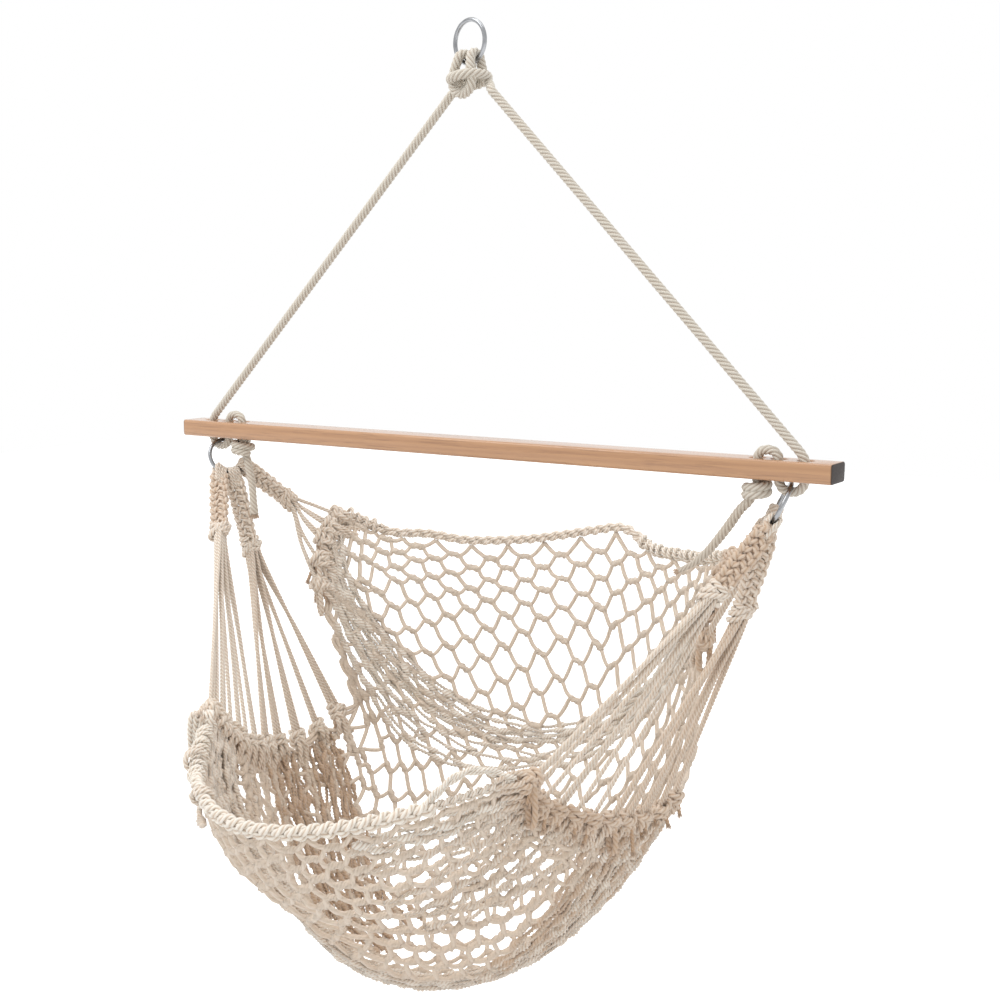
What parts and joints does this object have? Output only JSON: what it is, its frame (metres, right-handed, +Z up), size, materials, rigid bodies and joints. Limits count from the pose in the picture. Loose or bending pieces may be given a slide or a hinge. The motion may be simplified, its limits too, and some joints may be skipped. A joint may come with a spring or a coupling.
{
  "type": "hammock chair",
  "caption": "Hanging hammock chair: a knotted cotton cord sling below a wooden spreader bar, hung by one rope from a steel ring.",
  "frame": {"origin": "the inner top of the hanging ring, the point that rests on a hook", "axes": "+X along the spreader bar to the sitter's left as they face the front, +Y to the chair's back, +Z up"},
  "size_m": [1.067, 0.7454, 1.3122],
  "materials": {
    "natural_cotton_rope": "matt three-strand and plaited natural cotton rope",
    "natural_cotton_cord": "matt twisted natural cotton cord",
    "oiled_oak": "oiled oak with a straight grain and rounded edges",
    "zinc_steel": "bright zinc-plated steel wire"
  },
  "bodies": {
    "hanging_ring": {"hanging_ring": "zinc_steel"},
    "bar_and_rope": {"spreader_bar": "oiled_oak", "ring_hitch": "natural_cotton_rope", "rope_leg_left": "natural_cotton_rope", "rope_leg_right": "natural_cotton_rope", "rope_lacing_left": "natural_cotton_rope", "rope_lacing_right": "natural_cotton_rope", "rope_tail_left": "natural_cotton_rope", "rope_tail_right": "natural_cotton_rope"},
    "sling": {"side_ring_left": "zinc_steel", "side_ring_right": "zinc_steel", "plaited_arm_left_front": "natural_cotton_rope", "plaited_arm_left_middle": "natural_cotton_rope", "plaited_arm_left_back": "natural_cotton_rope", "plaited_arm_right_front": "natural_cotton_rope", "plaited_arm_right_middle": "natural_cotton_rope", "plaited_arm_right_back": "natural_cotton_rope", "cord_fan_left_front": "natural_cotton_cord", "cord_fan_left_middle": "natural_cotton_cord", "cord_fan_left_back": "natural_cotton_cord", "cord_fan_right_front": "natural_cotton_cord", "cord_fan_right_middle": "natural_cotton_cord", "cord_fan_right_back": "natural_cotton_cord", "back_edge_rope": "natural_cotton_rope", "front_edge_rope": "natural_cotton_rope", "net_back_top_left": "natural_cotton_cord", "net_back_top_centre_left": "natural_cotton_cord", "net_back_top_centre_right": "natural_cotton_cord", "net_back_top_right": "natural_cotton_cord", "net_back_middle_left": "natural_cotton_cord", "net_back_middle_centre_left": "natural_cotton_cord", "net_back_middle_centre_right": "natural_cotton_cord", "net_back_middle_right": "natural_cotton_cord", "net_back_low_left": "natural_cotton_cord", "net_back_low_centre_left": "natural_cotton_cord", "net_back_low_centre_right": "natural_cotton_cord", "net_back_low_right": "natural_cotton_cord", "net_seat_rear_left": "natural_cotton_cord", "net_seat_rear_centre_left": "natural_cotton_cord", "net_seat_rear_centre_right": "natural_cotton_cord", "net_seat_rear_right": "natural_cotton_cord", "net_seat_middle_left": "natural_cotton_cord", "net_seat_middle_centre_left": "natural_cotton_cord", "net_seat_middle_centre_right": "natural_cotton_cord", "net_seat_middle_right": "natural_cotton_cord", "net_seat_front_left": "natural_cotton_cord", "net_seat_front_centre_left": "natural_cotton_cord", "net_seat_front_centre_right": "natural_cotton_cord", "net_seat_front_right": "natural_cotton_cord"}
  },
  "joints": [
    {"name": "chair_swing", "type": "hinge", "parent": "hanging_ring", "child": "bar_and_rope", "pos_m": [0, 0, -0.0528], "axis": [0.9781, -0.2079, 0], "range_deg": [-25, 25]},
    {"name": "sling_swing", "type": "hinge", "parent": "bar_and_rope", "child": "sling", "pos_m": [0, 0, -0.6005], "axis": [1, 0, 0], "range_deg": [-20, 20]}
  ]
}
